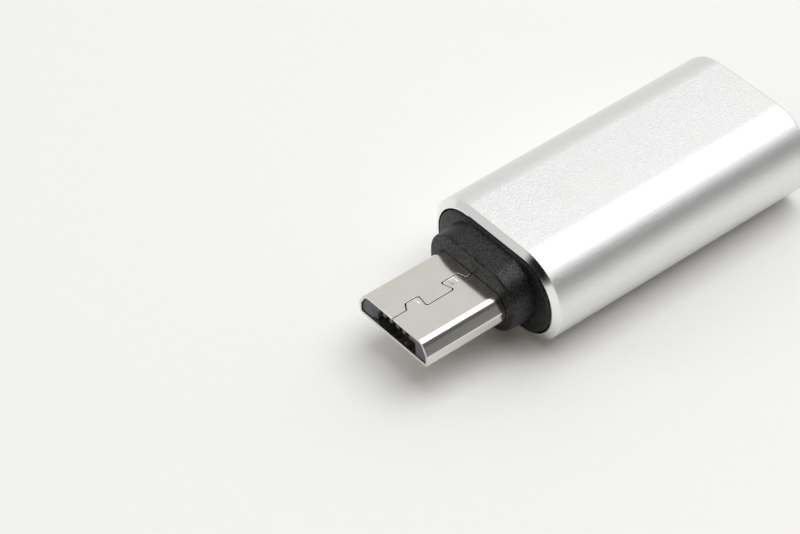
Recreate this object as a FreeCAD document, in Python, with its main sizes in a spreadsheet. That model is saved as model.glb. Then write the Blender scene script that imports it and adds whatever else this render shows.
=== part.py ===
import FreeCAD, Part
import os

import Sketcher

# A pocket adapter: a micro plug at the front, an oval port at the back, in an aluminium sleeve.
# Frame: millimetres, +Z up, the plug points to -Y, the part lies on the sleeve's flat underside.
# The origin is in the middle of the footprint, on the surface that the sleeve rests on.

Vector = FreeCAD.Vector
SAME_PLACE = 1e-4
QUARTER_TURN = 1.5707963267948966

# How a sketch numbers the points of a line or an arc, and its own origin.
START, END, CENTRE = range(1, 4)
ORIGIN = (-1, START)

doc = FreeCAD.newDocument("pocket_adapter")
sheet = doc.addObject("Spreadsheet::Sheet", "Sizes")
pieces = []


class Size:
    """A number in millimetres that carries its formula, so that a feature can be tied to it."""

    def __init__(self, number, formula):
        self.number = float(number)
        self.formula = formula

    def __add__(self, other):
        other = as_size(other)
        return Size(self.number + other.number, f"({self.formula} + {other.formula})")

    def __sub__(self, other):
        other = as_size(other)
        return Size(self.number - other.number, f"({self.formula} - {other.formula})")

    def __mul__(self, other):
        other = as_size(other)
        return Size(self.number * other.number, f"({self.formula} * {other.formula})")

    def __truediv__(self, other):
        other = as_size(other)
        return Size(self.number / other.number, f"({self.formula} / {other.formula})")

    def __neg__(self):
        return Size(-self.number, f"(0 - {self.formula})")

    def root(self):
        return Size(self.number ** 0.5, f"sqrt({self.formula})")


def as_size(value):
    """A plain number becomes a Size; a Size stays as it is."""
    if isinstance(value, Size):
        return value
    return Size(value, f"({float(value)!r})")


def size(alias, number, meaning):
    """Write one driving dimension into the sheet and hand it back."""
    row = size.rows_written + 1
    size.rows_written = row
    sheet.set(f"A{row}", meaning)
    sheet.set(f"B{row}", str(number))
    sheet.setAlias(f"B{row}", alias)
    return Size(number, f"Sizes.{alias}")


size.rows_written = 0

# Sleeve: an extruded aluminium tube with flat top and bottom and round sides.
sleeve_height = size("sleeve_height", 7.15, "sleeve, outside height")
sleeve_length = size("sleeve_length", 22.6, "sleeve, length")
sleeve_wall = size("sleeve_wall", 0.6, "sleeve, wall thickness")
sleeve_side_flat = size("sleeve_side_flat", 0.15, "sleeve, flat height between its round corners")
rim_flat = size("rim_flat", 0.1, "sleeve, flat rim left inside the polished bevel")
bevel_along = size("bevel_along", 0.34, "polished bevel at the mouth, measured along the sleeve")
rear_edge_round = size("rear_edge_round", 0.2, "sleeve, rounding of the rear edge")

# Clearances.
slip_gap = size("slip_gap", 0.04, "gap round a piece that is pushed into another and glued")
rim_gap = size("rim_gap", 0.1, "dark gap between the collar's face and the sleeve's mouth")
strip_gap = size("strip_gap", 0.05, "gap beside a spring strip in its groove")

# Front collar: a black moulding that closes the mouth, with a boss that carries the plug.
collar_proud = size("collar_proud", 0.1, "collar, how far its face stands out of the mouth")
collar_depth = size("collar_depth", 3.4, "collar, depth inside the sleeve")
collar_edge_round = size("collar_edge_round", 0.22, "collar, rounding of its face's edge")
rim_step_depth = size("rim_step_depth", 0.9, "collar, depth of the narrower rim at its face")
boss_side_wall = size("boss_side_wall", 0.7, "boss, thickness beside the plug")
boss_side_flat = size("boss_side_flat", 0.4, "boss, flat height between its round corners")
face_flat = size("face_flat", 0.045, "collar, flat strip left above the boss")
boss_length = size("boss_length", 1.94, "boss, how far it reaches out of the sleeve's mouth")
boss_root_round = size("boss_root_round", 0.1, "boss, rounding at its root")
boss_edge_round = size("boss_edge_round", 0.15, "boss, rounding of its front edge")

# Micro plug: a shell folded from sheet steel, with its wide side down.
plug_width = size("plug_width", 6.85, "plug shell, width of the wide side")
slant_run = size("slant_run", 0.535, "plug shell, width of a slanted side")
plug_slant = size("plug_slant", 0.97, "plug shell, height of its slanted sides")
plug_thick = size("plug_thick", 1.9, "plug shell, thickness")
plug_wall = size("plug_wall", 0.2, "plug shell, sheet thickness")
plug_reach = size("plug_reach", 6.5, "plug shell, how far it stands out of the boss")
plug_tail = size("plug_tail", 3.3, "plug shell, length hidden in the collar")
bend_inside = size("bend_inside", 0.12, "plug shell, inside radius of its lower bends")
top_bend_inside = size("top_bend_inside", 0.5, "plug shell, inside radius of the narrow side's bends")

# The folded shell's joint: a zigzag line with two interlocking tabs on the narrow side.
seam_gap = size("seam_gap", 0.06, "seam, width of the open line")
tab_one_start = size("tab_one_start", 1.12, "seam, first tab's distance from the tip")
tab_two_start = size("tab_two_start", 4.66, "seam, second tab's distance from the tip")
tab_long = size("tab_long", 1.41, "seam, length of a tab at its root")
tab_reach = size("tab_reach", 0.53, "seam, how far a tab reaches past the middle line")
tab_taper = size("tab_taper", 0.25, "seam, slant of a tab's leading edge")
seam_step = size("seam_step", 0.48, "seam, sideways step between the two tabs")
dimple_side = size("dimple_side", 0.58, "seam, side of the square dimple pressed into each tab")
dimple_margin = size("dimple_margin", 0.05, "seam, sheet between the open line and the dimple")
dimple_deep = size("dimple_deep", 0.04, "seam, depth of the dimple")

# Latches: two spring hooks that come out of slots in the wide side.
latch_inset = size("latch_inset", 1.05, "latch, distance of its middle from the plug's side")
latch_wide = size("latch_wide", 0.34, "latch, width of the strip")
latch_thick = size("latch_thick", 0.18, "latch, thickness of the strip")
latch_proud = size("latch_proud", 0.35, "latch, how far the hook stands out of the shell")
latch_crest = size("latch_crest", 2.0, "latch, distance of the hook's crest from the tip")
latch_crest_flat = size("latch_crest_flat", 0.12, "latch, flat length of the hook's crest")
latch_nose = size("latch_nose", 1.45, "latch, distance of the hook's front end from the tip")
latch_heel = size("latch_heel", 3.1, "latch, distance from the tip where the arm turns down")
latch_anchor = size("latch_anchor", 1.0, "latch, distance of its fixed end from the insulator's back")
latch_travel = size("latch_travel", 0.4, "latch, travel when it is pressed in")
slot_room = size("slot_room", 0.25, "latch slot, room in front of the latch")
slot_end = size("slot_end", 5.7, "latch slot, far end's distance from the tip")
slot_wide = size("slot_wide", 0.5, "latch slot, width")
channel_room = size("channel_room", 0.15, "latch channel, room above the latch when it is pressed in")

# Two stiffening grooves pressed into the wide side between the latches.
groove_offset = size("groove_offset", 1.21, "pressed groove, distance from the middle")
groove_wide = size("groove_wide", 0.5, "pressed groove, width")
groove_deep = size("groove_deep", 0.12, "pressed groove, depth")
groove_start = size("groove_start", 1.45, "pressed groove, distance from the tip")

# Plug insulator: a black moulding inside the shell with a mouth for the socket's tongue.
insulator_inset = size("insulator_inset", 0.1, "insulator, how far its face lies behind the tip")
insulator_short = size("insulator_short", 0.4, "insulator, how much it stops short of the shell's tail")
mouth_wide = size("mouth_wide", 3.7, "plug mouth, width")
mouth_under = size("mouth_under", 0.075, "plug mouth, how far its ceiling lies below a contact's underside")
lead_wide = size("lead_wide", 0.4, "plug mouth, width of the slope on each side of its opening")
lead_deep = size("lead_deep", 0.2, "plug mouth, depth of the slope on each side of its opening")
mouth_deep = size("mouth_deep", 4.75, "plug mouth, depth from the tip")
mouth_end_gap = size("mouth_end_gap", 0.2, "room in front of the mouth's end")
channel_start = size("channel_start", 0.8, "latch channel, distance from the tip")

# Five spring contacts.
contact_count = 5
contact_pitch = size("contact_pitch", 0.65, "plug contact, spacing")
contact_wide = size("contact_wide", 0.25, "plug contact, width")
contact_thick = size("contact_thick", 0.12, "plug contact, thickness")
contact_end = size("contact_end", 1.35, "plug contact, front end's distance from the tip")
contact_bow = size("contact_bow", 2.05, "plug contact, lowest point's distance from the tip")
contact_bow_flat = size("contact_bow_flat", 0.24, "plug contact, flat length of its bow")
contact_cover = size("contact_cover", 0.285, "room between a contact and the shell above it")
contact_drop = size("contact_drop", 0.28, "plug contact, how far the bow hangs into the mouth")
contact_lift = size("contact_lift", 0.12, "plug contact, how far its end stays below the strip")
contact_tail = size("contact_tail", 1.4, "plug contact, length of its tail on the board")
solder_gap = size("solder_gap", 0.03, "solder between a tail and the board")

# Circuit board with two chip resistors.
board_wide = size("board_wide", 8.4, "board, width")
board_thick = size("board_thick", 0.8, "board, thickness")
board_front_gap = size("board_front_gap", 0.1, "board, gap behind the plug shell")
board_rear_gap = size("board_rear_gap", 0.5, "board, gap in front of the port shell")
chip_long = size("chip_long", 1.0, "chip resistor, length")
chip_wide = size("chip_wide", 0.5, "chip resistor, width")
chip_high = size("chip_high", 0.35, "chip resistor, height")
chip_offset = size("chip_offset", 2.4, "chip resistor, distance from the middle")
chip_back = size("chip_back", 4.5, "chip resistor, distance from the board's front edge")

# Carrier: two moulded halves that clamp the board and the port.
chamber_wide = size("chamber_wide", 7.4, "carrier, width of the hollow over the board")
chamber_high = size("chamber_high", 1.4, "carrier, height of the hollow above the board's middle")
collar_room_half = size("collar_room_half", 1.3, "collar, half height of the hollow at its back")

# Oval port: shell, tongue with a steel mid plate, and sixteen contacts.
bezel_recess = size("bezel_recess", 0.15, "rear bezel, how far it lies inside the sleeve's end")
bezel_deep = size("bezel_deep", 2.0, "rear bezel, thickness")
bezel_edge_round = size("bezel_edge_round", 0.2, "rear bezel, rounding of its outer edge")
bezel_side = size("bezel_side", 1.05, "rear bezel, thickness beside the port")
port_wide = size("port_wide", 8.94, "port shell, outside width")
port_high = size("port_high", 3.16, "port shell, outside height")
port_wall = size("port_wall", 0.3, "port shell, wall thickness")
port_side_flat = size("port_side_flat", 0.1, "port shell, flat height between its round corners")
port_deep = size("port_deep", 7.35, "port shell, length")
port_base_long = size("port_base_long", 1.15, "port, thickness of the moulding behind the open cavity")
tongue_side_gap = size("tongue_side_gap", 0.825, "gap between the tongue's side and the port shell")
tongue_thick = size("tongue_thick", 0.7, "tongue, thickness")
tongue_long = size("tongue_long", 4.6, "tongue, length")
tongue_tip_round = size("tongue_tip_round", 0.5, "tongue, rounding of its front corners")
shoulder_side_gap = size("shoulder_side_gap", 0.37, "gap between the shoulder's side and the port shell")
shoulder_thick = size("shoulder_thick", 1.3, "tongue shoulder, thickness")
shoulder_long = size("shoulder_long", 1.1, "tongue shoulder, length")
plate_thick = size("plate_thick", 0.15, "mid plate, thickness")
plate_gap = size("plate_gap", 0.02, "gap on each face of the mid plate")
plate_cover = size("plate_cover", 0.35, "mid plate, plastic in front of it")
notch_deep = size("notch_deep", 0.4, "tongue side notch, depth")
notch_long = size("notch_long", 1.2, "tongue side notch, length")
notch_back = size("notch_back", 1.5, "tongue side notch, distance behind the tongue's tip")
pin_wide = size("pin_wide", 0.25, "port contact, width")
pin_thick = size("pin_thick", 0.1, "port contact, thickness")
pin_side = size("pin_side", 0.47, "tongue, width left beside the outermost contact")
pin_inset = size("pin_inset", 0.45, "port contact, distance behind the tongue's tip")
pin_jog = size("pin_jog", 0.3, "port contact, length of the step behind the port shell")
pin_tail = size("pin_tail", 0.9, "port contact, length of its tail on the board")

# Each row of the port has twelve places; eight of them hold a contact.
PIN_PLACES = 12
PINS_USED = (1, 4, 5, 6, 7, 8, 9, 12)
doc.recompute()

# Places along the part, from the plug's tip to the sleeve's rear end.
overall_length = plug_reach + boss_length + sleeve_length
tip_y = -overall_length / 2
boss_y = tip_y + plug_reach
mouth_y = boss_y + boss_length
rear_y = overall_length / 2
shell_tail_y = boss_y + plug_tail
collar_back_y = mouth_y + collar_depth
port_face_y = rear_y - bezel_recess
port_back_y = port_face_y - port_deep
cavity_floor_y = port_back_y + port_base_long
tongue_tip_y = cavity_floor_y + tongue_long
board_front_y = shell_tail_y + board_front_gap
board_rear_y = port_back_y - board_rear_gap
bezel_front_y = port_face_y - bezel_deep

# Heights above the table. The contacts lie on the board, and the plug is placed round them.
middle_z = sleeve_height / 2
board_top_z = middle_z + board_thick / 2
strip_z = board_top_z + solder_gap
mouth_ceiling_z = strip_z - mouth_under
plug_ceiling_z = strip_z + contact_thick + contact_cover
plug_top_z = plug_ceiling_z + plug_wall
plug_bottom_z = plug_top_z - plug_thick
plug_floor_z = plug_bottom_z + plug_wall
plug_z = plug_top_z - plug_thick / 2
shoulder_z = plug_top_z - plug_slant
boss_top_z = sleeve_height - sleeve_wall - rim_gap - collar_edge_round - boss_root_round - face_flat

# Sizes that follow from others. The sleeve is as wide as the port and the bezel beside it need.
sleeve_width = port_wide + (bezel_side + slip_gap * 2 + sleeve_wall) * 2
sleeve_round = (sleeve_height - sleeve_side_flat) / 2
bevel_across = sleeve_wall - rim_flat
boss_width = plug_width + boss_side_wall * 2
boss_height = (boss_top_z - plug_z) * 2
boss_round = (boss_height - boss_side_flat) / 2
plug_length = plug_reach + plug_tail
plug_top_width = plug_width - slant_run * 2
slant_long = (slant_run * slant_run + plug_slant * plug_slant).root()
latch_offset = plug_width / 2 - latch_inset
latch_root = plug_length - insulator_short - latch_anchor
slot_start = latch_nose - slot_room
groove_end = mouth_deep - mouth_end_gap
contact_bend = mouth_deep - mouth_end_gap
port_round = (port_high - port_side_flat) / 2
tongue_wide = port_wide - (port_wall + tongue_side_gap) * 2
pin_pitch = (tongue_wide - pin_side * 2 - pin_wide) / (PIN_PLACES - 1)
shoulder_wide = port_wide - (port_wall + shoulder_side_gap) * 2


def new_piece(name):
    """An empty body that becomes one node."""
    piece = doc.addObject("PartDesign::Body", name)
    piece.Label = name
    pieces.append(piece)
    return piece


def new_sketch(piece, role, distance):
    """A sketch on one of the piece's own planes, moved off it by a tied distance."""
    planes = [f for f in piece.Origin.OriginFeatures if f.Role == role]
    drawing = piece.newObject("Sketcher::SketchObject", piece.Name + "_sketch")
    drawing.AttachmentSupport = [(planes[0], "")]
    drawing.MapMode = "FlatFace"
    offset = Vector(0, 0, distance.number)
    drawing.AttachmentOffset = FreeCAD.Placement(offset, FreeCAD.Rotation())
    drawing.setExpression(".AttachmentOffset.Base.z", distance.formula)
    return drawing


def across(piece, y):
    """A sketch that looks along the part, at the place y."""
    return new_sketch(piece, "XZ_Plane", -y)


def level(piece, z):
    """A sketch seen from above, at the height z."""
    return new_sketch(piece, "XY_Plane", as_size(z))


def hold(drawing, kind, spot, value):
    """Add one constraint whose value follows a size."""
    number = drawing.addConstraint(Sketcher.Constraint(kind, *spot, value.number))
    drawing.setExpression(f"Constraints[{number}]", value.formula)


def place_point(drawing, line, end, x, y):
    """Hold one end of a line by its distances from the sketch's origin."""
    hold(drawing, "DistanceX", (*ORIGIN, line, end), x)
    hold(drawing, "DistanceY", (*ORIGIN, line, end), y)


def draw_corners(drawing, corners):
    """A closed run of straight lines through the corners."""
    corners = [(as_size(x), as_size(y)) for x, y in corners]
    spots = [Vector(x.number, y.number, 0) for x, y in corners]
    first = drawing.GeometryCount
    for here, there in zip(spots, spots[1:] + spots[:1]):
        drawing.addGeometry(Part.LineSegment(here, there))
    for step, (x, y) in enumerate(corners):
        line = first + step
        following = first + (step + 1) % len(corners)
        drawing.addConstraint(Sketcher.Constraint("Coincident", line, END, following, START))
        place_point(drawing, line, START, x, y)


def box_corners(low_x, low_y, high_x, high_y):
    return [(low_x, low_y), (high_x, low_y), (high_x, high_y), (low_x, high_y)]


def draw_round_box(drawing, middle_x, middle_y, width, height, radius):
    """A rectangle with round corners: four lines tangent to four arcs."""
    middle_x, middle_y = as_size(middle_x), as_size(middle_y)
    reach_x = width / 2 - radius
    reach_y = height / 2 - radius
    first = drawing.GeometryCount
    turns = ((1, 1), (-1, 1), (-1, -1), (1, -1))
    for corner, (side_x, side_y) in enumerate(turns):
        x = middle_x + reach_x * side_x
        y = middle_y + reach_y * side_y
        circle = Part.Circle(Vector(x.number, y.number, 0), Vector(0, 0, 1), radius.number)
        start = corner * QUARTER_TURN
        drawing.addGeometry(Part.ArcOfCircle(circle, start, start + QUARTER_TURN))
        place_point(drawing, first + corner, CENTRE, x, y)
        hold(drawing, "Radius", (first + corner,), radius)
    arcs = [drawing.Geometry[first + corner] for corner in range(len(turns))]
    for corner, arc in enumerate(arcs):
        following = (corner + 1) % len(arcs)
        line = first + len(arcs) + corner
        drawing.addGeometry(Part.LineSegment(arc.EndPoint, arcs[following].StartPoint))
        drawing.addConstraint(Sketcher.Constraint("Tangent", first + corner, END, line, START))
        drawing.addConstraint(Sketcher.Constraint("Tangent", line, END, first + following, START))


def check_change(piece, name, grows, volume_before):
    """Stop if a feature added or removed nothing."""
    doc.recompute()
    change = piece.Shape.Volume - volume_before
    if change * (1 if grows else -1) <= 0:
        raise RuntimeError(f"{piece.Label}: {name} changed nothing")


def volume_of(piece):
    """The piece's volume so far, or nothing for an empty body."""
    doc.recompute()
    if piece.Shape.isNull():
        return 0.0
    return piece.Shape.Volume


def add(piece, drawing, length, backwards=False):
    """Pad a sketch. A sketch that looks along the part grows to the front unless backwards."""
    before = volume_of(piece)
    feature = piece.newObject("PartDesign::Pad", piece.Name + "_pad")
    feature.Profile = drawing
    feature.setExpression("Length", length.formula)
    feature.Reversed = backwards
    check_change(piece, feature.Name, True, before)


def cut(piece, drawing, length, backwards=False):
    """Pocket a sketch. A sketch that looks along the part cuts to the rear unless backwards."""
    before = volume_of(piece)
    feature = piece.newObject("PartDesign::Pocket", piece.Name + "_cut")
    feature.Profile = drawing
    feature.setExpression("Length", length.formula)
    feature.Reversed = backwards
    check_change(piece, feature.Name, False, before)


def edge_names(piece, wanted):
    """Names of the edges of the piece's tip feature that pass a test."""
    doc.recompute()
    found = [f"Edge{n + 1}" for n, edge in enumerate(piece.Tip.Shape.Edges) if wanted(edge)]
    if not found:
        raise RuntimeError(f"{piece.Label}: no edge to round")
    return found


def round_edges(piece, names, radius):
    carrier = piece.Tip
    feature = piece.newObject("PartDesign::Fillet", piece.Name + "_round")
    feature.Base = (carrier, names)
    feature.setExpression("Radius", radius.formula)
    doc.recompute()


def runs_along_at(corners):
    """A test for the long edges that pass through given places of the section."""
    spots = [(as_size(x).number, as_size(z).number) for x, z in corners]

    def wanted(edge):
        one, two = edge.Vertexes[0].Point, edge.Vertexes[-1].Point
        if abs(one.x - two.x) > SAME_PLACE or abs(one.z - two.z) > SAME_PLACE:
            return False
        if abs(one.y - two.y) < SAME_PLACE:
            return False
        return any(abs(one.x - x) < SAME_PLACE and abs(one.z - z) < SAME_PLACE for x, z in spots)

    return wanted


def outer_rim_at(piece, y):
    """A test for the outer edges of the flat face that lies across the part at y."""
    doc.recompute()
    rims = []
    for face in piece.Tip.Shape.Faces:
        box = face.BoundBox
        if abs(box.YMin - y.number) < SAME_PLACE and abs(box.YMax - y.number) < SAME_PLACE:
            rims.append(face.OuterWire)
    rim = max(rims, key=lambda wire: wire.BoundBox.DiagonalLength)
    return lambda edge: any(edge.isSame(other) for other in rim.Edges)


def lies_in_plane(y, half_width, low_z, high_z):
    """A test for the edges that lie across the part at y, inside a box about the middle."""

    def wanted(edge):
        box = edge.BoundBox
        flat = abs(box.YMin - y.number) < SAME_PLACE and abs(box.YMax - y.number) < SAME_PLACE
        inside = max(box.XMax, -box.XMin) < half_width.number + SAME_PLACE
        above = box.ZMin > low_z.number - SAME_PLACE
        below = box.ZMax < high_z.number + SAME_PLACE
        return flat and inside and above and below

    return wanted


def round_plug_corners(piece, corners, low_radius, top_radius):
    """Round the four lower bends and the two wide bends of the narrow side."""
    lower = corners[:3] + corners[5:]
    round_edges(piece, edge_names(piece, runs_along_at(lower)), low_radius)
    round_edges(piece, edge_names(piece, runs_along_at(corners[3:5])), top_radius)


def plug_section(grow):
    """The plug's six cornered section, moved outwards on all sides by a distance."""
    grow = as_size(grow)
    side_x = plug_width / 2 + grow
    top_x = plug_top_width / 2 + grow * (slant_long - slant_run) / plug_slant
    low_z = plug_bottom_z - grow
    bend_z = shoulder_z + grow * (slant_long - plug_slant) / slant_run
    high_z = plug_top_z + grow
    return [(-side_x, low_z), (side_x, low_z), (side_x, bend_z),
            (top_x, high_z), (-top_x, high_z), (-side_x, bend_z)]


def sleeve_section(drawing, shrink):
    """The sleeve's section, moved inwards by a distance."""
    shrink = as_size(shrink)
    draw_round_box(drawing, 0, middle_z, sleeve_width - shrink * 2,
                   sleeve_height - shrink * 2, sleeve_round - shrink)


def make_sleeve():
    """Extruded tube; a diamond cutter leaves a shallow bright bevel round the mouth."""
    piece = new_piece("sleeve")
    drawing = across(piece, mouth_y)
    sleeve_section(drawing, 0)
    sleeve_section(drawing, sleeve_wall)
    add(piece, drawing, sleeve_length, backwards=True)
    names = edge_names(piece, outer_rim_at(piece, mouth_y))
    tube = piece.Tip
    bevel = piece.newObject("PartDesign::Chamfer", "sleeve_bevel")
    bevel.Base = (tube, names)
    bevel.ChamferType = "Two distances"
    bevel.setExpression("Size", bevel_along.formula)
    bevel.setExpression("Size2", bevel_across.formula)
    doc.recompute()
    round_edges(piece, edge_names(piece, outer_rim_at(piece, rear_y)), rear_edge_round)


def make_front_collar():
    """One moulding: a plug for the sleeve's mouth, a softly rounded face and the boss."""
    piece = new_piece("front_collar")
    body_front_y = mouth_y + rim_step_depth
    drawing = across(piece, body_front_y)
    sleeve_section(drawing, sleeve_wall + slip_gap)
    add(piece, drawing, collar_depth - rim_step_depth, backwards=True)
    drawing = across(piece, body_front_y)
    sleeve_section(drawing, sleeve_wall + rim_gap)
    add(piece, drawing, rim_step_depth + collar_proud)
    face_y = mouth_y - collar_proud
    round_edges(piece, edge_names(piece, outer_rim_at(piece, face_y)), collar_edge_round)
    drawing = across(piece, face_y)
    draw_round_box(drawing, 0, plug_z, boss_width, boss_height, boss_round)
    add(piece, drawing, boss_length - collar_proud)
    root = lies_in_plane(face_y, boss_width / 2, boss_top_z - boss_height, boss_top_z)
    round_edges(piece, edge_names(piece, root), boss_root_round)
    round_edges(piece, edge_names(piece, outer_rim_at(piece, boss_y)), boss_edge_round)
    drawing = across(piece, boss_y)
    hole = plug_section(slip_gap)
    draw_corners(drawing, hole)
    cut(piece, drawing, boss_length + collar_depth)
    outside_gap = plug_wall + slip_gap
    round_plug_corners(piece, hole, bend_inside + outside_gap, top_bend_inside + outside_gap)
    room_width = board_wide / 2 + slip_gap
    drawing = across(piece, shell_tail_y)
    draw_corners(drawing, box_corners(-room_width, middle_z - collar_room_half,
                                      room_width, middle_z + collar_room_half))
    cut(piece, drawing, collar_back_y - shell_tail_y)


def seam_outline():
    """The open line of the folded shell: two tabs of one side reach into the other side.

    Each corner of the path is widened by half the line's width to the right and then, on the
    way back, to the left. A run that turns left is widened backwards, one to the right forwards.
    """
    half = seam_gap / 2
    soft = tab_taper / 2
    one, two = tab_one_start, tab_two_start
    left, right = -tab_reach, seam_step
    end = plug_length
    path = [
        (as_size(0), as_size(0), 0),
        (as_size(0), one, 1),
        (left + soft, one + tab_taper, 1),
        (left, one + tab_taper + soft, 1),
        (left, one + tab_long - soft, -1),
        (left + soft, one + tab_long, -1),
        (right - soft, one + tab_long - soft, -1),
        (right, one + tab_long, -1),
        (right, two - soft, 1),
        (right - soft, two, 1),
        (left + soft, two - tab_taper, 1),
        (left, two - soft, 1),
        (left, two + tab_long - tab_taper - soft, -1),
        (left + soft, two + tab_long - tab_taper, -1),
        (as_size(0) + soft, two + tab_long - soft, -1),
        (as_size(0) + soft, end, 0),
    ]
    there = [(x + half, tip_y + far + half * turn) for x, far, turn in path]
    back = [(x - half, tip_y + far - half * turn) for x, far, turn in reversed(path)]
    return there + back


def make_plug_shell():
    """Sheet steel folded round the plug, with its joint, latch slots and pressed grooves."""
    piece = new_piece("plug_shell")
    length = plug_length
    outside = plug_section(0)
    inside = plug_section(-plug_wall)
    drawing = across(piece, tip_y)
    draw_corners(drawing, outside)
    add(piece, drawing, length, backwards=True)
    round_plug_corners(piece, outside, bend_inside + plug_wall, top_bend_inside + plug_wall)
    drawing = across(piece, tip_y)
    draw_corners(drawing, inside)
    cut(piece, drawing, length)
    round_plug_corners(piece, inside, bend_inside, top_bend_inside)

    bulge = level(piece, plug_floor_z)
    groove = level(piece, plug_bottom_z)
    groove_long = groove_end - groove_start
    groove_middle_y = tip_y + (groove_start + groove_end) / 2
    for side in (-1, 1):
        for drawing, slimmer in ((bulge, 0), (groove, 1)):
            wide = groove_wide - groove_deep * slimmer
            draw_round_box(drawing, groove_offset * side, groove_middle_y, wide,
                           groove_long - groove_deep * slimmer, wide / 2 - SAME_PLACE)
    add(piece, bulge, groove_deep)
    cut(piece, groove, groove_deep, backwards=True)

    drawing = level(piece, plug_bottom_z)
    for side in (-1, 1):
        middle = latch_offset * side
        draw_corners(drawing, box_corners(middle - slot_wide / 2, tip_y + slot_start,
                                          middle + slot_wide / 2, tip_y + slot_end))
    cut(piece, drawing, plug_wall, backwards=True)

    drawing = level(piece, plug_top_z)
    draw_corners(drawing, seam_outline())
    cut(piece, drawing, plug_wall)
    drawing = level(piece, plug_top_z)
    middle_x = seam_gap / 2 + dimple_margin + dimple_side / 2 - tab_reach
    for start in (tab_one_start + tab_taper, tab_two_start - tab_taper / 2):
        low_y = tip_y + start + (tab_long - tab_taper - dimple_side) / 2
        draw_corners(drawing, box_corners(middle_x - dimple_side / 2, low_y,
                                          middle_x + dimple_side / 2, low_y + dimple_side))
    cut(piece, drawing, dimple_deep)


def contact_offset(number):
    """Sideways place of one of the plug's contacts."""
    return contact_pitch * (number - (contact_count - 1) / 2)


def make_plug_insulator():
    """Moulded block: a mouth with a sloped opening, five grooves and two latch channels."""
    piece = new_piece("plug_insulator")
    face_y = tip_y + insulator_inset
    length = plug_length - insulator_inset - insulator_short
    section = plug_section(-(plug_wall + slip_gap))
    drawing = across(piece, face_y)
    draw_corners(drawing, section)
    add(piece, drawing, length, backwards=True)
    round_plug_corners(piece, section, bend_inside, top_bend_inside)
    low_z = plug_floor_z
    drawing = across(piece, face_y)
    draw_corners(drawing, box_corners(-mouth_wide / 2, low_z, mouth_wide / 2, mouth_ceiling_z))
    cut(piece, drawing, mouth_deep - insulator_inset)
    drawing = level(piece, low_z)
    half_mouth = mouth_wide / 2
    half_lead = half_mouth + lead_wide
    draw_corners(drawing, [(-half_lead, face_y), (half_lead, face_y),
                           (half_mouth, face_y + lead_deep), (-half_mouth, face_y + lead_deep)])
    cut(piece, drawing, mouth_ceiling_z - low_z, backwards=True)
    drawing = across(piece, face_y)
    half_groove = contact_wide / 2 + strip_gap
    for number in range(contact_count):
        middle = contact_offset(number)
        draw_corners(drawing, box_corners(middle - half_groove, mouth_ceiling_z - strip_gap,
                                          middle + half_groove, plug_ceiling_z))
    cut(piece, drawing, length)
    drawing = level(piece, low_z)
    for side in (-1, 1):
        middle = latch_offset * side
        draw_corners(drawing, box_corners(middle - slot_wide / 2, tip_y + channel_start,
                                          middle + slot_wide / 2, tip_y + latch_root + strip_gap))
    cut(piece, drawing, latch_thick + latch_travel + channel_room, backwards=True)


def make_strip(name, middle_x, wide, corners):
    """A bent metal strip: its side view, padded to its width."""
    piece = new_piece(name)
    drawing = new_sketch(piece, "YZ_Plane", middle_x - wide / 2)
    draw_corners(drawing, corners)
    add(piece, drawing, wide)
    return piece


def thickened(centre_line, thick):
    """A side view of a strip from the points of its underside."""
    return centre_line + [(y, z + thick) for y, z in reversed(centre_line)]


def make_plug_contacts():
    """Each contact runs back from its bow in the mouth to its tail on the board."""
    low_z = strip_z
    underside = [
        (board_front_y + contact_tail, low_z),
        (tip_y + contact_bend, low_z),
        (tip_y + contact_bow + contact_bow_flat / 2, low_z - contact_drop),
        (tip_y + contact_bow - contact_bow_flat / 2, low_z - contact_drop),
        (tip_y + contact_end, low_z - contact_lift),
    ]
    corners = thickened(underside, contact_thick)
    for number in range(contact_count):
        make_strip(f"plug_contact_{number + 1}", contact_offset(number), contact_wide, corners)


def make_latches():
    """Each latch is a spring arm that ends in a hook outside the wide side."""
    arm_z = plug_floor_z + strip_gap
    crest_z = plug_bottom_z - latch_proud
    underside = [
        (tip_y + latch_root, arm_z),
        (tip_y + latch_heel, arm_z),
        (tip_y + latch_crest + latch_crest_flat / 2, crest_z),
        (tip_y + latch_crest - latch_crest_flat / 2, crest_z),
        (tip_y + latch_nose, plug_bottom_z + strip_gap),
    ]
    corners = thickened(underside, latch_thick)
    for name, side in (("latch_left", -1), ("latch_right", 1)):
        make_strip(name, latch_offset * side, latch_wide, corners)


def make_circuit_board():
    """Short board between the plug's tails and the port's tails."""
    piece = new_piece("circuit_board")
    drawing = across(piece, board_front_y)
    draw_corners(drawing, box_corners(-board_wide / 2, middle_z - board_thick / 2,
                                      board_wide / 2, board_top_z))
    add(piece, drawing, board_rear_y - board_front_y, backwards=True)


def make_resistors():
    """Two chip resistors on the board, one on each side of the middle."""
    for number, side in ((1, -1), (2, 1)):
        name = f"chip_resistor_{number}"
        chip = doc.addObject("Part::Box", name)
        chip.Label = name
        chip.setExpression("Length", chip_wide.formula)
        chip.setExpression("Width", chip_long.formula)
        chip.setExpression("Height", chip_high.formula)
        corner_x = chip_offset * side - chip_wide / 2
        corner_y = board_front_y + chip_back
        chip.setExpression("Placement.Base.x", corner_x.formula)
        chip.setExpression("Placement.Base.y", corner_y.formula)
        chip.setExpression("Placement.Base.z", board_top_z.formula)
        pieces.append(chip)


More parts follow.
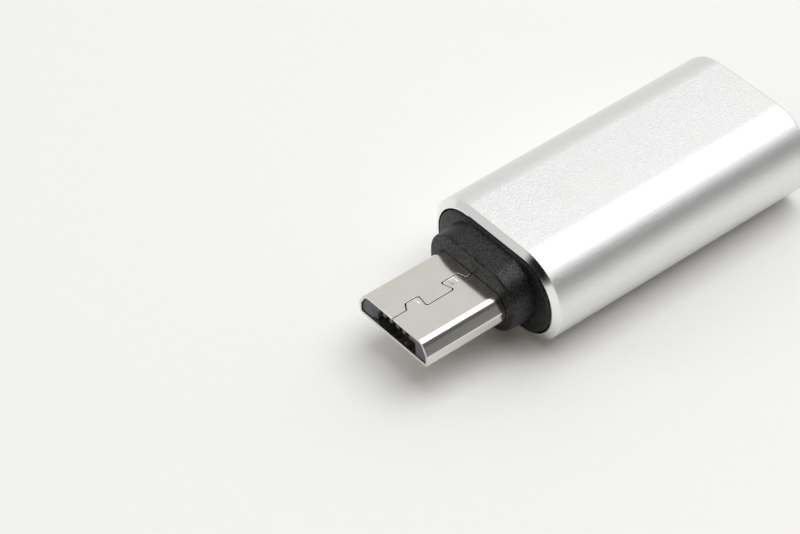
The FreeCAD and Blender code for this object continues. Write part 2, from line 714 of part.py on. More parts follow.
def make_carrier(name, side):
    """Half of the inner moulding; the two halves meet at the board's middle."""
    piece = new_piece(name)
    front_y = collar_back_y + slip_gap
    length = bezel_front_y - slip_gap - front_y
    drawing = across(piece, front_y)
    sleeve_section(drawing, sleeve_wall + slip_gap)
    add(piece, drawing, length, backwards=True)
    other_half = across(piece, front_y)
    draw_corners(other_half, box_corners(-sleeve_width, middle_z - sleeve_height * (side > 0),
                                         sleeve_width, middle_z + sleeve_height * (side < 0)))
    cut(piece, other_half, length)
    seat = board_thick / 2 + slip_gap
    board_room = board_wide / 2 + slip_gap
    for half_width, half_height in ((board_room, seat), (chamber_wide / 2, chamber_high)):
        drawing = across(piece, front_y)
        draw_corners(drawing, box_corners(-half_width, middle_z - half_height,
                                          half_width, middle_z + half_height))
        cut(piece, drawing, length)
    drawing = across(piece, port_back_y - slip_gap)
    port_section(drawing, slip_gap)
    cut(piece, drawing, port_deep)


def port_section(drawing, grow):
    """The port shell's oval section, moved outwards by a distance."""
    grow = as_size(grow)
    draw_round_box(drawing, 0, middle_z, port_wide + grow * 2, port_high + grow * 2, port_round + grow)


def make_rear_bezel():
    """Black moulding that closes the sleeve's rear end round the port."""
    piece = new_piece("rear_bezel")
    drawing = across(piece, bezel_front_y)
    sleeve_section(drawing, sleeve_wall + slip_gap)
    add(piece, drawing, bezel_deep, backwards=True)
    round_edges(piece, edge_names(piece, outer_rim_at(piece, port_face_y)), bezel_edge_round)
    drawing = across(piece, bezel_front_y)
    port_section(drawing, slip_gap)
    cut(piece, drawing, bezel_deep)


def make_port_shell():
    """Seamless oval tube."""
    piece = new_piece("port_shell")
    drawing = across(piece, port_back_y)
    port_section(drawing, 0)
    port_section(drawing, -port_wall)
    add(piece, drawing, port_deep, backwards=True)


def notch_corners(low_y, high_y, half_width):
    """The two side notches of the tongue, seen from above."""
    for side in (-1, 1):
        inner = (half_width - notch_deep) * side
        outer = (half_width + notch_deep) * side
        yield box_corners(inner, low_y, outer, high_y)


def pin_offset(place):
    """Sideways place of a port contact, from its number in the row."""
    return pin_pitch * (place - (PIN_PLACES + 1) / 2)


def make_port_tongue():
    """Moulding: base, shoulder and the thin tongue with its grooves and the mid plate's slot."""
    piece = new_piece("port_tongue")
    drawing = across(piece, port_back_y)
    port_section(drawing, -(port_wall + slip_gap))
    add(piece, drawing, cavity_floor_y - port_back_y, backwards=True)
    drawing = across(piece, cavity_floor_y)
    draw_corners(drawing, box_corners(-shoulder_wide / 2, middle_z - shoulder_thick / 2,
                                      shoulder_wide / 2, middle_z + shoulder_thick / 2))
    add(piece, drawing, shoulder_long, backwards=True)
    drawing = level(piece, middle_z - tongue_thick / 2)
    draw_round_box(drawing, 0, cavity_floor_y + tongue_long / 2 - tongue_tip_round / 2,
                   tongue_wide, tongue_long + tongue_tip_round, tongue_tip_round)
    add(piece, drawing, tongue_thick)
    notch_end_y = tongue_tip_y - notch_back
    drawing = level(piece, middle_z + tongue_thick / 2)
    for corners in notch_corners(notch_end_y - notch_long, notch_end_y, tongue_wide / 2):
        draw_corners(drawing, corners)
    cut(piece, drawing, tongue_thick)
    drawing = across(piece, port_back_y)
    half_groove = pin_wide / 2 + slip_gap
    for place in PINS_USED:
        middle = pin_offset(place)
        for low, high in ((tongue_thick / 2 - pin_thick - slip_gap, tongue_thick / 2),
                          (-tongue_thick / 2, pin_thick + slip_gap - tongue_thick / 2)):
            draw_corners(drawing, box_corners(middle - half_groove, middle_z + low,
                                              middle + half_groove, middle_z + high))
    cut(piece, drawing, tongue_tip_y - pin_inset + slip_gap - port_back_y)
    drawing = across(piece, cavity_floor_y)
    half_slot = plate_thick / 2 + plate_gap
    draw_corners(drawing, box_corners(-tongue_wide / 2 - slip_gap, middle_z - half_slot,
                                      tongue_wide / 2 + slip_gap, middle_z + half_slot))
    cut(piece, drawing, tongue_long - plate_cover)


def make_mid_plate():
    """Steel plate inside the tongue, notched where a plug's side springs catch."""
    piece = new_piece("port_mid_plate")
    end_y = tongue_tip_y - plate_cover - slip_gap
    start_y = cavity_floor_y + slip_gap
    drawing = level(piece, middle_z - plate_thick / 2)
    draw_corners(drawing, box_corners(-tongue_wide / 2, start_y, tongue_wide / 2, end_y))
    add(piece, drawing, plate_thick)
    notch_end_y = tongue_tip_y - notch_back
    drawing = level(piece, middle_z + plate_thick / 2)
    for corners in notch_corners(notch_end_y - notch_long, notch_end_y, tongue_wide / 2):
        draw_corners(drawing, corners)
    cut(piece, drawing, plate_thick)


def make_port_contacts():
    """Sixteen strips, flush with the tongue's faces; their tails clamp the board's end."""
    for row, side in (("upper", 1), ("lower", -1)):
        near = tongue_thick / 2 - pin_thick
        far = board_thick / 2 + solder_gap
        tail_y = port_back_y - pin_jog
        underside = [
            (tongue_tip_y - pin_inset, middle_z + near * side),
            (port_back_y, middle_z + near * side),
            (tail_y, middle_z + far * side),
            (tail_y - pin_tail, middle_z + far * side),
        ]
        corners = thickened(underside, pin_thick * side)
        for place in PINS_USED:
            make_strip(f"port_contact_{row}_{place}", pin_offset(place), pin_wide, corners)


def write_pieces():
    """Check every object, then write one file for each piece."""
    doc.recompute()
    for item in doc.Objects:
        if "Invalid" in item.State or "Error" in item.State:
            raise RuntimeError(f"{item.Label} failed: {item.State}")
    os.makedirs("parts", exist_ok=True)
    for piece in pieces:
        shape = piece.Shape
        if shape.isNull() or not shape.isValid() or len(shape.Solids) != 1:
            raise RuntimeError(f"{piece.Label} is not one sound solid")
        shape.exportStep(f"parts/{piece.Label}.step")
        print(f"{piece.Label}: {shape.Volume:.3f} cubic millimetres")


make_sleeve()
make_front_collar()
make_plug_shell()
make_plug_insulator()
make_plug_contacts()
make_latches()
make_circuit_board()
make_resistors()
make_carrier("carrier_top", 1)
make_carrier("carrier_bottom", -1)
make_rear_bezel()
make_port_shell()
make_port_tongue()
make_mid_plate()
make_port_contacts()
write_pieces()
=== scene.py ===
# %% [markdown]
# # A pocket adapter in a bead-blasted sleeve
#
# The object is a short aluminium sleeve. A black moulding closes its mouth and carries a folded
# steel plug, and an oval port is hidden in its rear end. The solids were drawn first, piece by
# piece. This lesson dresses them: it models each visible piece again with fine edges, gives each
# one its real finish, and lights the object like a small studio photograph.
#
# We start by loading the solids. They show where each piece is, in metres, and they stay put.

# %% Load the solids
from math import acos, cos, pi, radians, sin, tan

import bmesh
import bpy
from mathutils import Matrix, Vector


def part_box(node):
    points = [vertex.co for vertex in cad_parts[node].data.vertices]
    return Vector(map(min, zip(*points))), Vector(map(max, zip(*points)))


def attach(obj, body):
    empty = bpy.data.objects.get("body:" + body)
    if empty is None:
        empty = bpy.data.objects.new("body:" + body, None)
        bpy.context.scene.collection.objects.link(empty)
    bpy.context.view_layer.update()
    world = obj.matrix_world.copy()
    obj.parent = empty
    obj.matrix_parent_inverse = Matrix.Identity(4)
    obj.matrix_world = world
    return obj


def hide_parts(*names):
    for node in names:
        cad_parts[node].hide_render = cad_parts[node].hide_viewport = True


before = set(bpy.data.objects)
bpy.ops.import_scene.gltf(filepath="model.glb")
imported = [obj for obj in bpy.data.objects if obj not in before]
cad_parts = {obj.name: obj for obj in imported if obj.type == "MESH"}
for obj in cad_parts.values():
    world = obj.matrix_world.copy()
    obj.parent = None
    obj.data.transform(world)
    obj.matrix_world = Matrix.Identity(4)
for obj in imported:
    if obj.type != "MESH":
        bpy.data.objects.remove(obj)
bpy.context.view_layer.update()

scene = bpy.context.scene

# %% [markdown]
# ## Measures
#
# Blender counts in metres, but nobody thinks of a plug that way, so every piece below is drawn in
# millimetres and made 1000 times smaller at the end. The sizes that the solids already hold are
# read from their boxes. The part lies along Y: the plug points to -Y, and +Z is up.

# %% Measures in millimetres
MM = 0.001


def box_mm(node):
    """Lowest and highest corner of a solid, in millimetres."""
    low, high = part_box(node)
    return low / MM, high / MM


sleeve_low, sleeve_high = box_mm("sleeve")
collar_low, collar_high = box_mm("front_collar")
shell_low, shell_high = box_mm("plug_shell")
port_low, port_high = box_mm("port_shell")
MIDDLE_Z = (sleeve_low.z + sleeve_high.z) / 2
MOUTH_Y = sleeve_low.y
REAR_Y = sleeve_high.y
TIP_Y = shell_low.y
BOSS_Y = collar_low.y
PLUG_Z = (shell_low.z + shell_high.z) / 2
print("length in mm:", round(REAR_Y - TIP_Y, 2), "width in mm:", round(sleeve_high.x * 2, 2))

# %% [markdown]
# ## Drawing tools
#
# Nearly every piece here is an extrusion: an outline carried along Y. So two small functions draw
# outlines, one for a box with round corners and one that rounds any polygon. A third joins a row
# of outlines into a skin. Drawing a rounded edge is then only a matter of a few more outlines,
# each a little further in, as a turner cuts a radius in small steps.

# %% Outlines and skins
def round_box(half_wide, half_high, radius, middle_z, steps=16):
    """A box with round corners as (x, z) points, anticlockwise from its right side."""
    points = []
    for corner in range(4):
        side_x = 1 if corner in (0, 3) else -1
        side_z = 1 if corner in (0, 1) else -1
        for step in range(steps + 1):
            angle = (corner + step / steps) * pi / 2
            x = side_x * (half_wide - radius) + radius * cos(angle)
            z = side_z * (half_high - radius) + radius * sin(angle)
            points.append((x, middle_z + z))
    return points


def round_polygon(corners, radii, steps=8):
    """A polygon whose corners are arcs that touch both of their sides, one radius for each."""
    points = []
    for number, (corner, radius) in enumerate(zip(corners, radii)):
        here = Vector(corner)
        back = (Vector(corners[number - 1]) - here).normalized()
        ahead = (Vector(corners[(number + 1) % len(corners)]) - here).normalized()
        opening = acos(max(-1.0, min(1.0, back.dot(ahead))))
        centre = here + (back + ahead).normalized() * radius / sin(opening / 2)
        start = here + back * radius / tan(opening / 2) - centre
        end = here + ahead * radius / tan(opening / 2) - centre
        turn = start.angle_signed(end)
        for step in range(steps + 1):
            point = centre + Matrix.Rotation(-turn * step / steps, 2) @ start
            points.append((point.x, point.y))
    return points


def along(outline, y):
    """An (x, z) outline placed across the part at y."""
    return [(x, y, z) for x, z in outline]


def add_rows(bm, rings):
    """The points of several outlines, put into the drawing row by row."""
    return [[bm.verts.new(point) for point in ring] for ring in rings]


def join_rows(bm, rows, material=0):
    """Quads between neighbouring rows of points."""
    for row, following in zip(rows, rows[1:]):
        for number in range(len(row)):
            ahead = (number + 1) % len(row)
            quad = (row[number], row[ahead], following[ahead], following[number])
            bm.faces.new(quad).material_index = material


def fill_between(bm, *rows):
    """A flat face between an outer row and the rows of its holes."""
    edges = []
    for row in rows:
        for number, vert in enumerate(row):
            pair = (vert, row[(number + 1) % len(row)])
            edges.append(bm.edges.get(pair) or bm.edges.new(pair))
    bmesh.ops.triangle_fill(bm, edges=edges, use_beauty=True)


print("a round box has", len(round_box(2, 1, 0.5, 0)), "points")

# %% [markdown]
# ## From drawing to piece
#
# `to_piece` turns a drawing into an object: it welds the points, shrinks millimetres to metres,
# and marks every edge sharper than 20 degrees, so that round walls look round and real edges stay
# crisp. Then it hangs the piece on the empty of the body that carries it and hides the solid it
# replaces. The weighted normals keep a big flat face flat right up to its rounded edge.
#
# Sharp sheet steel and mouldings never have a perfect edge. `soften` gives them the small radius
# that catches a line of light. It works for our own drawings, and `copy_of` feeds it the meshes of
# solids whose shape is already right.

# %% From drawing to piece
SHARP = radians(20)
WELD = 0.0005


def new_drawing():
    """An empty drawing."""
    return bmesh.new()


def soften(bm, width, least_turn=35, segments=2):
    """Round all edges that turn by more than least_turn degrees, width in millimetres."""
    bmesh.ops.remove_doubles(bm, verts=bm.verts, dist=WELD)
    bmesh.ops.recalc_face_normals(bm, faces=bm.faces)
    edges = [e for e in bm.edges
             if len(e.link_faces) == 2 and e.calc_face_angle(0) > radians(least_turn)]
    bmesh.ops.bevel(bm, geom=edges, offset=width, offset_type="OFFSET", segments=segments,
                    profile=0.5, affect="EDGES", clamp_overlap=True)


def copy_of(node):
    """The mesh of a solid as a drawing in millimetres, with its flat faces made whole."""
    bm = new_drawing()
    bm.from_mesh(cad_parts[node].data)
    bmesh.ops.scale(bm, vec=(1 / MM,) * 3, verts=bm.verts)
    bmesh.ops.remove_doubles(bm, verts=bm.verts, dist=WELD)
    bmesh.ops.dissolve_limit(bm, angle_limit=radians(1), verts=bm.verts, edges=bm.edges)
    return bm


def to_piece(bm, name, node, materials, body="housing"):
    """Make the object, let it ride on its body and hide the solid it replaces."""
    bmesh.ops.remove_doubles(bm, verts=bm.verts, dist=WELD)
    bmesh.ops.recalc_face_normals(bm, faces=bm.faces)
    bmesh.ops.scale(bm, vec=(MM,) * 3, verts=bm.verts)
    mesh = bpy.data.meshes.new(name)
    bm.to_mesh(mesh)
    bm.free()
    mesh.shade_smooth()
    mesh.set_sharp_from_angle(angle=SHARP)
    for material in materials:
        mesh.materials.append(material)
    piece = bpy.data.objects.new(name, mesh)
    scene.collection.objects.link(piece)
    evener = piece.modifiers.new("even normals", "WEIGHTED_NORMAL")
    evener.keep_sharp = True
    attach(piece, body)
    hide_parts(node)
    print(name, "has", len(mesh.polygons), "faces")


SLOTS = {name: solid.material_slots[0].name for name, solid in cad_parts.items()}
print("finishes in the record:", sorted(set(SLOTS.values())))

# %% [markdown]
# ## Colours and nodes
#
# A colour is written as it looks on a screen, and one function turns it into the linear light
# that the renderer works with. Another adds any node, with its settings and its links, so that a
# finish reads like a short recipe.

# %% Colours and nodes
def colour(code):
    """A hex colour as linear red, green, blue and full opacity."""
    parts = [int(code[place:place + 2], 16) / 255 for place in (1, 3, 5)]
    return [c / 12.92 if c <= 0.04045 else ((c + 0.055) / 1.055) ** 2.4 for c in parts] + [1.0]


def add_node(tree, kind, settings=None, values=None, links=None):
    """One node: its settings, the values of its inputs and the sockets that feed them."""
    made = tree.nodes.new(kind)
    for key, value in (settings or {}).items():
        setattr(made, key, value)
    for key, value in (values or {}).items():
        made.inputs[key].default_value = value
    for key, socket in (links or {}).items():
        tree.links.new(socket, made.inputs[key])
    return made


def new_finish(name):
    """An empty material with its node tree and the object's own coordinates."""
    material = bpy.data.materials.new(name)
    material.use_nodes = True
    tree = material.node_tree
    tree.nodes.clear()
    places = add_node(tree, "ShaderNodeTexCoord").outputs["Object"]
    return material, tree, places


def close_finish(tree, values, links):
    """The surface itself, and the output that shows it."""
    surface = add_node(tree, "ShaderNodeBsdfPrincipled", {}, values, links)
    add_node(tree, "ShaderNodeOutputMaterial", {}, {}, {"Surface": surface.outputs["BSDF"]})


def per_mm(size):
    """Scale of a noise whose grains are that many millimetres apart."""
    return 1 / (size * MM)


def per_wave(size):
    """Scale of a wave texture that has one line in that many millimetres."""
    return per_mm(size) / 20


print("mid grey in linear light:", round(colour("#808080")[0], 3))

# %% [markdown]
# ## Finish: bead-blasted, clear anodised aluminium
#
# The sleeve is an extruded tube that was blasted with fine glass beads and then anodised. The
# beads leave dents of a few hundredths of a millimetre, and the clear oxide layer evens them out.
# To the eye that is a silky pale grey: it mirrors only broad bands of light and dark, and a fine
# sparkle shows where a band turns dark. The dents are drawn about 0.09 mm wide, coarser than the
# real ones, because finer ones would vanish between the pixels. Aluminium is a metal, so its
# metallic value is 1 and its IOR is left alone.

# %% Anodised aluminium
def make_anodised_aluminium():
    """Silky metal: fine dents in its tone and its bump, broad clouds in its roughness."""
    material, tree, places = new_finish("bead_blasted_anodised_aluminium")
    dents = add_node(tree, "ShaderNodeTexNoise", {},
                     {"Scale": per_mm(0.09), "Detail": 2.0, "Roughness": 0.7}, {"Vector": places})
    clouds = add_node(tree, "ShaderNodeTexNoise", {},
                      {"Scale": per_mm(5.0), "Detail": 3.0}, {"Vector": places})
    tone = add_node(tree, "ShaderNodeMix", {"data_type": "RGBA"},
                    {"A": colour("#e2e2e2"), "B": colour("#f4f4f4")},
                    {"Factor": dents.outputs["Fac"]})
    rough = add_node(tree, "ShaderNodeMapRange", {}, {"To Min": 0.3, "To Max": 0.37},
                     {"Value": clouds.outputs["Fac"]})
    bump = add_node(tree, "ShaderNodeBump", {}, {"Strength": 1.0, "Distance": 0.03 * MM},
                    {"Height": dents.outputs["Fac"]})
    close_finish(tree, {"Metallic": 1.0},
                 {"Base Color": tone.outputs["Result"], "Roughness": rough.outputs["Result"],
                  "Normal": bump.outputs["Normal"]})
    return material


anodised_aluminium = make_anodised_aluminium()
print("made", anodised_aluminium.name)

# %% [markdown]
# ## Finish: diamond-cut aluminium
#
# After anodising, a diamond tool cuts a narrow bevel round the mouth. The bare metal there is
# nearly a mirror, with the faint lines of the tool, about 0.05 mm apart. It flashes white where
# it faces the lamp and goes dark where it faces the room, which is why makers like it as a trim.

# %% Diamond-cut aluminium
def make_cut_aluminium():
    """Bright bare metal with the fine lines of the cutting tool."""
    material, tree, places = new_finish("diamond_cut_aluminium")
    lines = add_node(tree, "ShaderNodeTexWave",
                     {"wave_type": "BANDS", "bands_direction": "Y", "wave_profile": "SIN"},
                     {"Scale": per_wave(0.05), "Distortion": 0.4, "Detail": 1.0},
                     {"Vector": places})
    bump = add_node(tree, "ShaderNodeBump", {}, {"Strength": 0.1, "Distance": 0.001 * MM},
                    {"Height": lines.outputs["Fac"]})
    rough = add_node(tree, "ShaderNodeMapRange", {}, {"To Min": 0.1, "To Max": 0.16},
                     {"Value": lines.outputs["Fac"]})
    close_finish(tree, {"Metallic": 1.0, "Base Color": colour("#f1f1f0")},
                 {"Roughness": rough.outputs["Result"], "Normal": bump.outputs["Normal"]})
    return material


cut_aluminium = make_cut_aluminium()
print("made", cut_aluminium.name)

# %% [markdown]
# ## Finish: black moulded ABS
#
# The collar, the boss and the rear bezel are moulded from black ABS. Spark erosion gave the mould
# a fine grain, which the plastic copies, so it looks soft charcoal, not glossy black: a plastic
# reflects about 4 percent of the light whatever its colour, and the grain spreads that over the
# whole face. The hollows of the grain hardly shine, so their gloss is turned down, and only the
# tops sparkle. Grains are drawn 0.13 mm wide, again coarser than real ones so that they show. The
# IOR of ABS is about 1.54.

# %% Moulded plastics
def make_moulding(name, dark, pale, grain, roughness, depth, dull=0.4):
    """A moulded plastic: two close tones, the mould's grain and a little unevenness."""
    material, tree, places = new_finish(name)
    grains = add_node(tree, "ShaderNodeTexNoise", {},
                      {"Scale": per_mm(grain), "Detail": 2.0}, {"Vector": places})
    flow = add_node(tree, "ShaderNodeTexNoise", {}, {"Scale": per_mm(1.8), "Detail": 2.0},
                    {"Vector": places})
    fleck = add_node(tree, "ShaderNodeMapRange", {}, {"From Min": 0.35, "From Max": 0.65},
                     {"Value": grains.outputs["Fac"]})
    tone = add_node(tree, "ShaderNodeMix", {"data_type": "RGBA"},
                    {"A": colour(dark), "B": colour(pale)}, {"Factor": fleck.outputs["Result"]})
    rough = add_node(tree, "ShaderNodeMapRange", {},
                     {"To Min": roughness - 0.05, "To Max": roughness + 0.05},
                     {"Value": flow.outputs["Fac"]})
    bump = add_node(tree, "ShaderNodeBump", {}, {"Strength": 0.6, "Distance": depth * MM},
                    {"Height": grains.outputs["Fac"]})
    gloss = add_node(tree, "ShaderNodeMapRange", {}, {"To Min": dull, "To Max": 0.5},
                     {"Value": fleck.outputs["Result"]})
    close_finish(tree, {"IOR": 1.54},
                 {"Base Color": tone.outputs["Result"], "Roughness": rough.outputs["Result"],
                  "Specular IOR Level": gloss.outputs["Result"], "Normal": bump.outputs["Normal"]})
    return material


black_abs = make_moulding("black_moulded_abs", "#050506", "#1a1a1e", 0.13, 0.42, 0.02, 0.2)
print("made", black_abs.name)

# %% [markdown]
# The plug's insulator and the port's tongue are glass-filled liquid crystal polymer, which is
# what connectors use because it survives soldering. It is matt, a little violet, and its short
# fibres show as a fine fleck. The carrier inside is nylon: duller and a bit paler.

# %% Connector plastic and nylon
connector_plastic = make_moulding("liquid_crystal_polymer", "#505057", "#62626a", 0.06, 0.5, 0.004)
carrier_nylon = make_moulding("black_nylon", "#262626", "#323231", 0.15, 0.6, 0.006)
print("made", connector_plastic.name, "and", carrier_nylon.name)

# %% [markdown]
# ## Finish: rolled and plated sheet metals
#
# The shell, the latches, the contacts and the port's tube start as rolled strip. Rolling leaves
# fine lines along the strip, about 0.04 mm apart and some millimetres long, and the plating
# rounds them off. So all of them share one recipe: a noise that is stretched along Y, which
# drives the roughness and a very shallow bump. Nickel is a warm grey, spring steel a darker one,
# stainless steel is cooler, and the gold on the contacts is thin and rather pale.

# %% Rolled metals
def make_rolled_metal(name, tone_one, tone_two, smooth, rough, line=0.04):
    """A metal strip with rolling lines along Y, between two tones and two roughnesses."""
    material, tree, places = new_finish(name)
    stretched = add_node(tree, "ShaderNodeMapping", {}, {"Scale": (1.0, 0.02, 1.0)},
                         {"Vector": places})
    lines = add_node(tree, "ShaderNodeTexNoise", {}, {"Scale": per_mm(line), "Detail": 3.0},
                     {"Vector": stretched.outputs["Vector"]})
    patches = add_node(tree, "ShaderNodeTexNoise", {}, {"Scale": per_mm(1.2), "Detail": 4.0},
                       {"Vector": places})
    tone = add_node(tree, "ShaderNodeMix", {"data_type": "RGBA"},
                    {"A": colour(tone_one), "B": colour(tone_two)},
                    {"Factor": patches.outputs["Fac"]})
    gloss = add_node(tree, "ShaderNodeMapRange", {}, {"To Min": smooth, "To Max": rough},
                     {"Value": lines.outputs["Fac"]})
    bump = add_node(tree, "ShaderNodeBump", {}, {"Strength": 0.2, "Distance": 0.0006 * MM},
                    {"Height": lines.outputs["Fac"]})
    close_finish(tree, {"Metallic": 1.0},
                 {"Base Color": tone.outputs["Result"], "Roughness": gloss.outputs["Result"],
                  "Normal": bump.outputs["Normal"]})
    return material


satin_nickel = make_rolled_metal("satin_nickel_on_steel", "#dad7d0", "#e2e0da", 0.12, 0.19)
spring_steel = make_rolled_metal("spring_steel", "#b4b1ab", "#c6c3bd", 0.2, 0.32)
drawn_stainless = make_rolled_metal("deep_drawn_stainless_steel", "#bcbab6", "#cbc9c5", 0.2, 0.36)
plated_gold = make_rolled_metal("gold_plated_bronze", "#d9b66c", "#e3c583", 0.16, 0.28)
print("made four rolled metals")

# %% [markdown]
# ## The sleeve
#
# The real sleeve is a piece of extruded tube, 0.6 mm thick. It could be a box with a bevel, but
# an outline carried along Y gives exact tangent curves, and they are what makes long reflections
# run straight. The outlines go round the wall once: along the outside, round the rear edge,
# back through the inside. The shallow polished bevel at the mouth takes the second finish.

# %% Sleeve
SLEEVE_WALL = 0.6
SLEEVE_ROUND = 3.5
BEVEL_ACROSS = 0.5
BEVEL_ALONG = 0.34
REAR_ROUND = 0.2


def sleeve_ring(y, inset):
    """The sleeve's outline at y, moved inwards by a distance."""
    outline = round_box(sleeve_high.x - inset, MIDDLE_Z - inset, SLEEVE_ROUND - inset, MIDDLE_Z)
    return along(outline, y)


def quarter_turn(radius, steps=5):
    """Pairs of (how far in, how far back) along a rounded edge, from the end face outwards."""
    for step in range(steps + 1):
        angle = pi / 2 * step / steps
        yield radius * (1 - sin(angle)), radius * (1 - cos(angle))


drawing = new_drawing()
rings = [sleeve_ring(MOUTH_Y, SLEEVE_WALL), sleeve_ring(REAR_Y, SLEEVE_WALL)]
rings += [sleeve_ring(REAR_Y - back, inset) for inset, back in quarter_turn(REAR_ROUND)]
rings += [sleeve_ring(MOUTH_Y + BEVEL_ALONG, 0), sleeve_ring(MOUTH_Y, BEVEL_ACROSS)]
rows = add_rows(drawing, rings)
join_rows(drawing, rows[:-1])
join_rows(drawing, rows[-2:] + rows[:1], material=1)
to_piece(drawing, "extruded_sleeve", "sleeve", [anodised_aluminium, cut_aluminium])

# %% [markdown]
# ## The front collar and its boss
#
# This is one moulding. Its rim sits in the mouth with a thin dark gap round it and a soft edge.
# In front of it stands the boss, an oval block that carries the plug. All their outlines are round
# boxes, so the skin can run from the sleeve's inside to the boss's front edge in one go. The flat
# front face has a hole in the plug's own shape, so that face is filled between two outlines.

# %% Collar
SLIP_GAP = 0.04
RIM_GAP = 0.1
RIM_DEPTH = 0.9
COLLAR_PROUD = 0.1
COLLAR_EDGE_ROUND = 0.22
BOSS_HIGH = 4.85
BOSS_WIDE = 8.25
BOSS_ROUND = 2.225
BOSS_ROOT_ROUND = 0.1
BOSS_EDGE_ROUND = 0.15
PLUG_WIDE = 6.85
PLUG_TOP_WIDE = 5.78
PLUG_SLANT = 0.97
SHEET = 0.2
LOW_BEND = 0.12
TOP_BEND = 0.5
ROOM_HALF_WIDE = 4.24
ROOM_HALF_HIGH = 1.3


def boss_ring(y, inset):
    """The boss's outline at y, moved inwards by a distance."""
    outline = round_box(BOSS_WIDE / 2 - inset, BOSS_HIGH / 2 - inset, BOSS_ROUND - inset, PLUG_Z)
    return along(outline, y)


def plug_corners(grow):
    """The plug's six corners as (x, z), moved outwards on all sides by a distance."""
    run = (PLUG_WIDE - PLUG_TOP_WIDE) / 2
    slant = (run ** 2 + PLUG_SLANT ** 2) ** 0.5
    side_x = PLUG_WIDE / 2 + grow
    top_x = PLUG_TOP_WIDE / 2 + grow * (slant - run) / PLUG_SLANT
    low, high = shell_low.z - grow, shell_high.z + grow
    bend_z = shell_high.z - PLUG_SLANT + grow * (slant - PLUG_SLANT) / run
    return [(-side_x, low), (side_x, low), (side_x, bend_z), (top_x, high), (-top_x, high),
            (-side_x, bend_z)]


def plug_outline(grow, steps=8):
    """The plug's outline: four tight bends, and two wide ones beside its narrow side."""
    out = SHEET + grow
    radii = [LOW_BEND + out] * 3 + [TOP_BEND + out] * 2 + [LOW_BEND + out]
    return round_polygon(plug_corners(grow), radii, steps)


face_y = MOUTH_Y - COLLAR_PROUD
step_y = MOUTH_Y + RIM_DEPTH
rim_inset = SLEEVE_WALL + RIM_GAP
slip_inset = SLEEVE_WALL + SLIP_GAP
rings = [sleeve_ring(collar_high.y, slip_inset), sleeve_ring(step_y, slip_inset),
         sleeve_ring(step_y, rim_inset)]
edge = list(quarter_turn(COLLAR_EDGE_ROUND))
rings += [sleeve_ring(face_y + back, rim_inset + inset) for inset, back in reversed(edge)]
root = list(quarter_turn(BOSS_ROOT_ROUND))
rings += [boss_ring(face_y - BOSS_ROOT_ROUND + back, inset - BOSS_ROOT_ROUND)
          for back, inset in reversed(root)]
edge = list(quarter_turn(BOSS_EDGE_ROUND))
rings += [boss_ring(BOSS_Y + back, inset) for inset, back in reversed(edge)]

drawing = new_drawing()
rows = add_rows(drawing, rings)
join_rows(drawing, rows)
hole = along(plug_outline(SLIP_GAP), BOSS_Y)
room = [(-ROOM_HALF_WIDE, -ROOM_HALF_HIGH), (ROOM_HALF_WIDE, -ROOM_HALF_HIGH),
        (ROOM_HALF_WIDE, ROOM_HALF_HIGH), (-ROOM_HALF_WIDE, ROOM_HALF_HIGH)]
room = [(x, MIDDLE_Z + z) for x, z in room]
hole_rows = add_rows(drawing, [hole, [(x, shell_high.y, z) for x, _, z in hole]])
room_rows = add_rows(drawing, [along(room, shell_high.y), along(room, collar_high.y)])
join_rows(drawing, hole_rows)
join_rows(drawing, room_rows)
fill_between(drawing, rows[-1], hole_rows[0])
fill_between(drawing, room_rows[0], hole_rows[1])
fill_between(drawing, rows[0], room_rows[1])
to_piece(drawing, "moulded_collar", "front_collar", [black_abs])

# %% [markdown]
# ## The folded plug shell
#
# The shell is stamped from 0.2 mm steel strip and folded round the plug. The two ends of the
# strip meet on the narrow side in a zigzag, and two tabs like dovetails keep the joint from
# springing open. A solid tube comes first. Then cutters take out what the press stamped: the open
# line of the joint, a shallow square dent in each tab, the latch slots and the two long grooves
# underneath. All the cutters are islands of one mesh, so a single Boolean does the work. Last,
# every stamped edge gets its small radius.

# %% Shell, uncut
shell_rings = []
for y, grow in ((shell_high.y, -SHEET), (TIP_Y, -SHEET), (TIP_Y, 0), (shell_high.y, 0)):
    shell_rings.append(along(plug_outline(grow), y))
shell_drawing = new_drawing()
rows = add_rows(shell_drawing, shell_rings)
join_rows(shell_drawing, rows + rows[:1])
print("the uncut shell has", len(shell_drawing.faces), "faces")

# %% [markdown]
# The joint's line is a path from the tip to the rear end. Half its width is added to one side on
# the way there and to the other side on the way back, which gives the closed outline of the cut.

# %% Cutters
SEAM_GAP = 0.07
TABS = (1.12, 4.66)
TAB_LONG = 1.41
TAB_REACH = 0.53
TAB_TAPER = 0.25
SEAM_STEP = 0.48
DIMPLE = 0.58
DIMPLE_MARGIN = 0.05
DIMPLE_DEEP = 0.04


def seam_outline():
    """The open line of the joint as (x, y) points."""
    half, soft = SEAM_GAP / 2, TAB_TAPER / 2
    one, two = TABS
    left, right = -TAB_REACH, SEAM_STEP
    path = [(0, -1, 0), (0, one, 1), (left + soft, one + TAB_TAPER, 1),
            (left, one + TAB_TAPER + soft, 1), (left, one + TAB_LONG - soft, -1),
            (left + soft, one + TAB_LONG, -1), (right - soft, one + TAB_LONG - soft, -1),
            (right, one + TAB_LONG, -1), (right, two - soft, 1), (right - soft, two, 1),
            (left + soft, two - TAB_TAPER, 1), (left, two - soft, 1),
            (left, two + TAB_LONG - TAB_TAPER - soft, -1),
            (left + soft, two + TAB_LONG - TAB_TAPER, -1),
            (soft, two + TAB_LONG - soft, -1), (soft, shell_high.y - TIP_Y + 1, 0)]
    there = [(x + half, TIP_Y + far + half * turn) for x, far, turn in path]
    back = [(x - half, TIP_Y + far - half * turn) for x, far, turn in reversed(path)]
    return there + back


